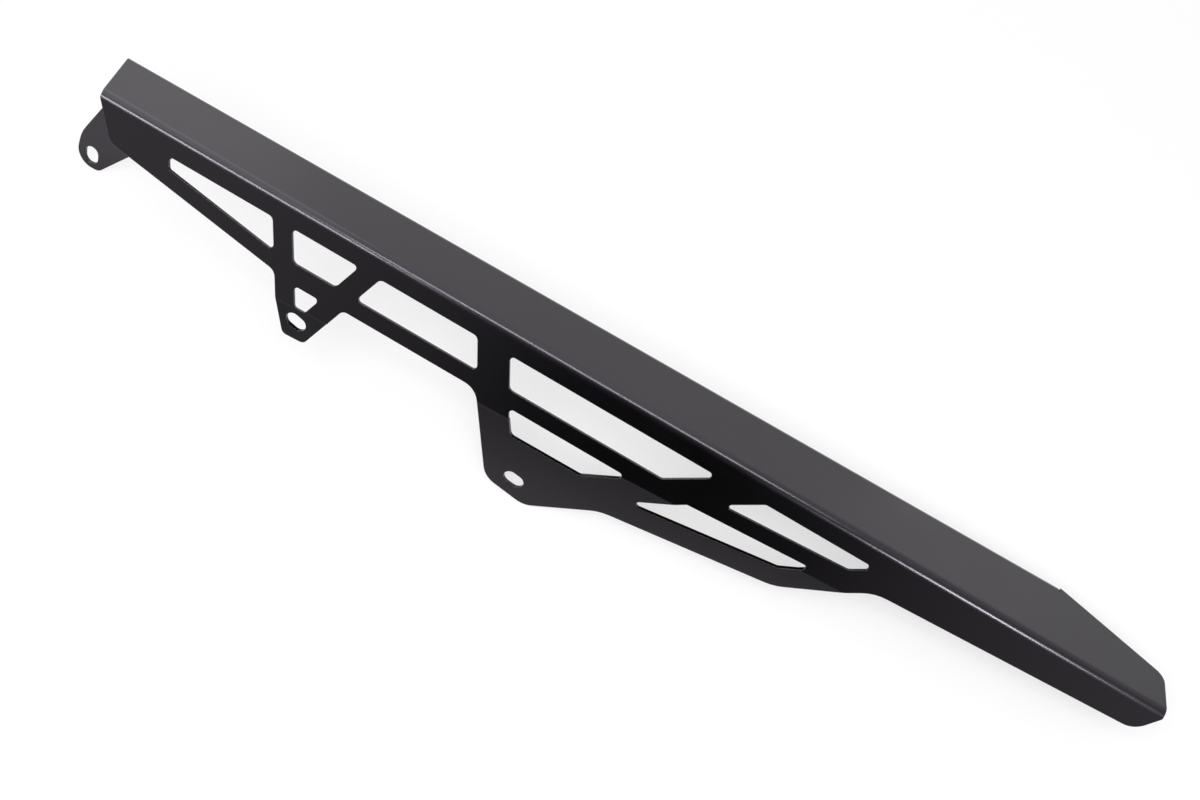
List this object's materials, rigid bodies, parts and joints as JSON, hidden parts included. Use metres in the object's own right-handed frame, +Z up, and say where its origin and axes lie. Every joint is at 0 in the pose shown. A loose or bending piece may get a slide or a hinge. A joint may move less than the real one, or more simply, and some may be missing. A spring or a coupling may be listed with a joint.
{
  "type": "motorcycle chain guard",
  "caption": "Folded sheet-metal guard for a drive chain: a long tapering channel with a windowed outer side and slotted tabs that screw to a swing arm.",
  "frame": {"origin": "centre of the slot in the front tab, on the tab's seat face that lies against the swing arm", "axes": "+X along the chain to the tapered rear tip, +Y away from the windowed side towards the wheel, +Z up"},
  "size_m": [0.5163, 0.048, 0.0684],
  "materials": {
    "black_powder_coat": "satin black powder coat over sheet metal"
  },
  "bodies": {
    "root": {"chain_guard": "black_powder_coat"}
  },
  "joints": []
}
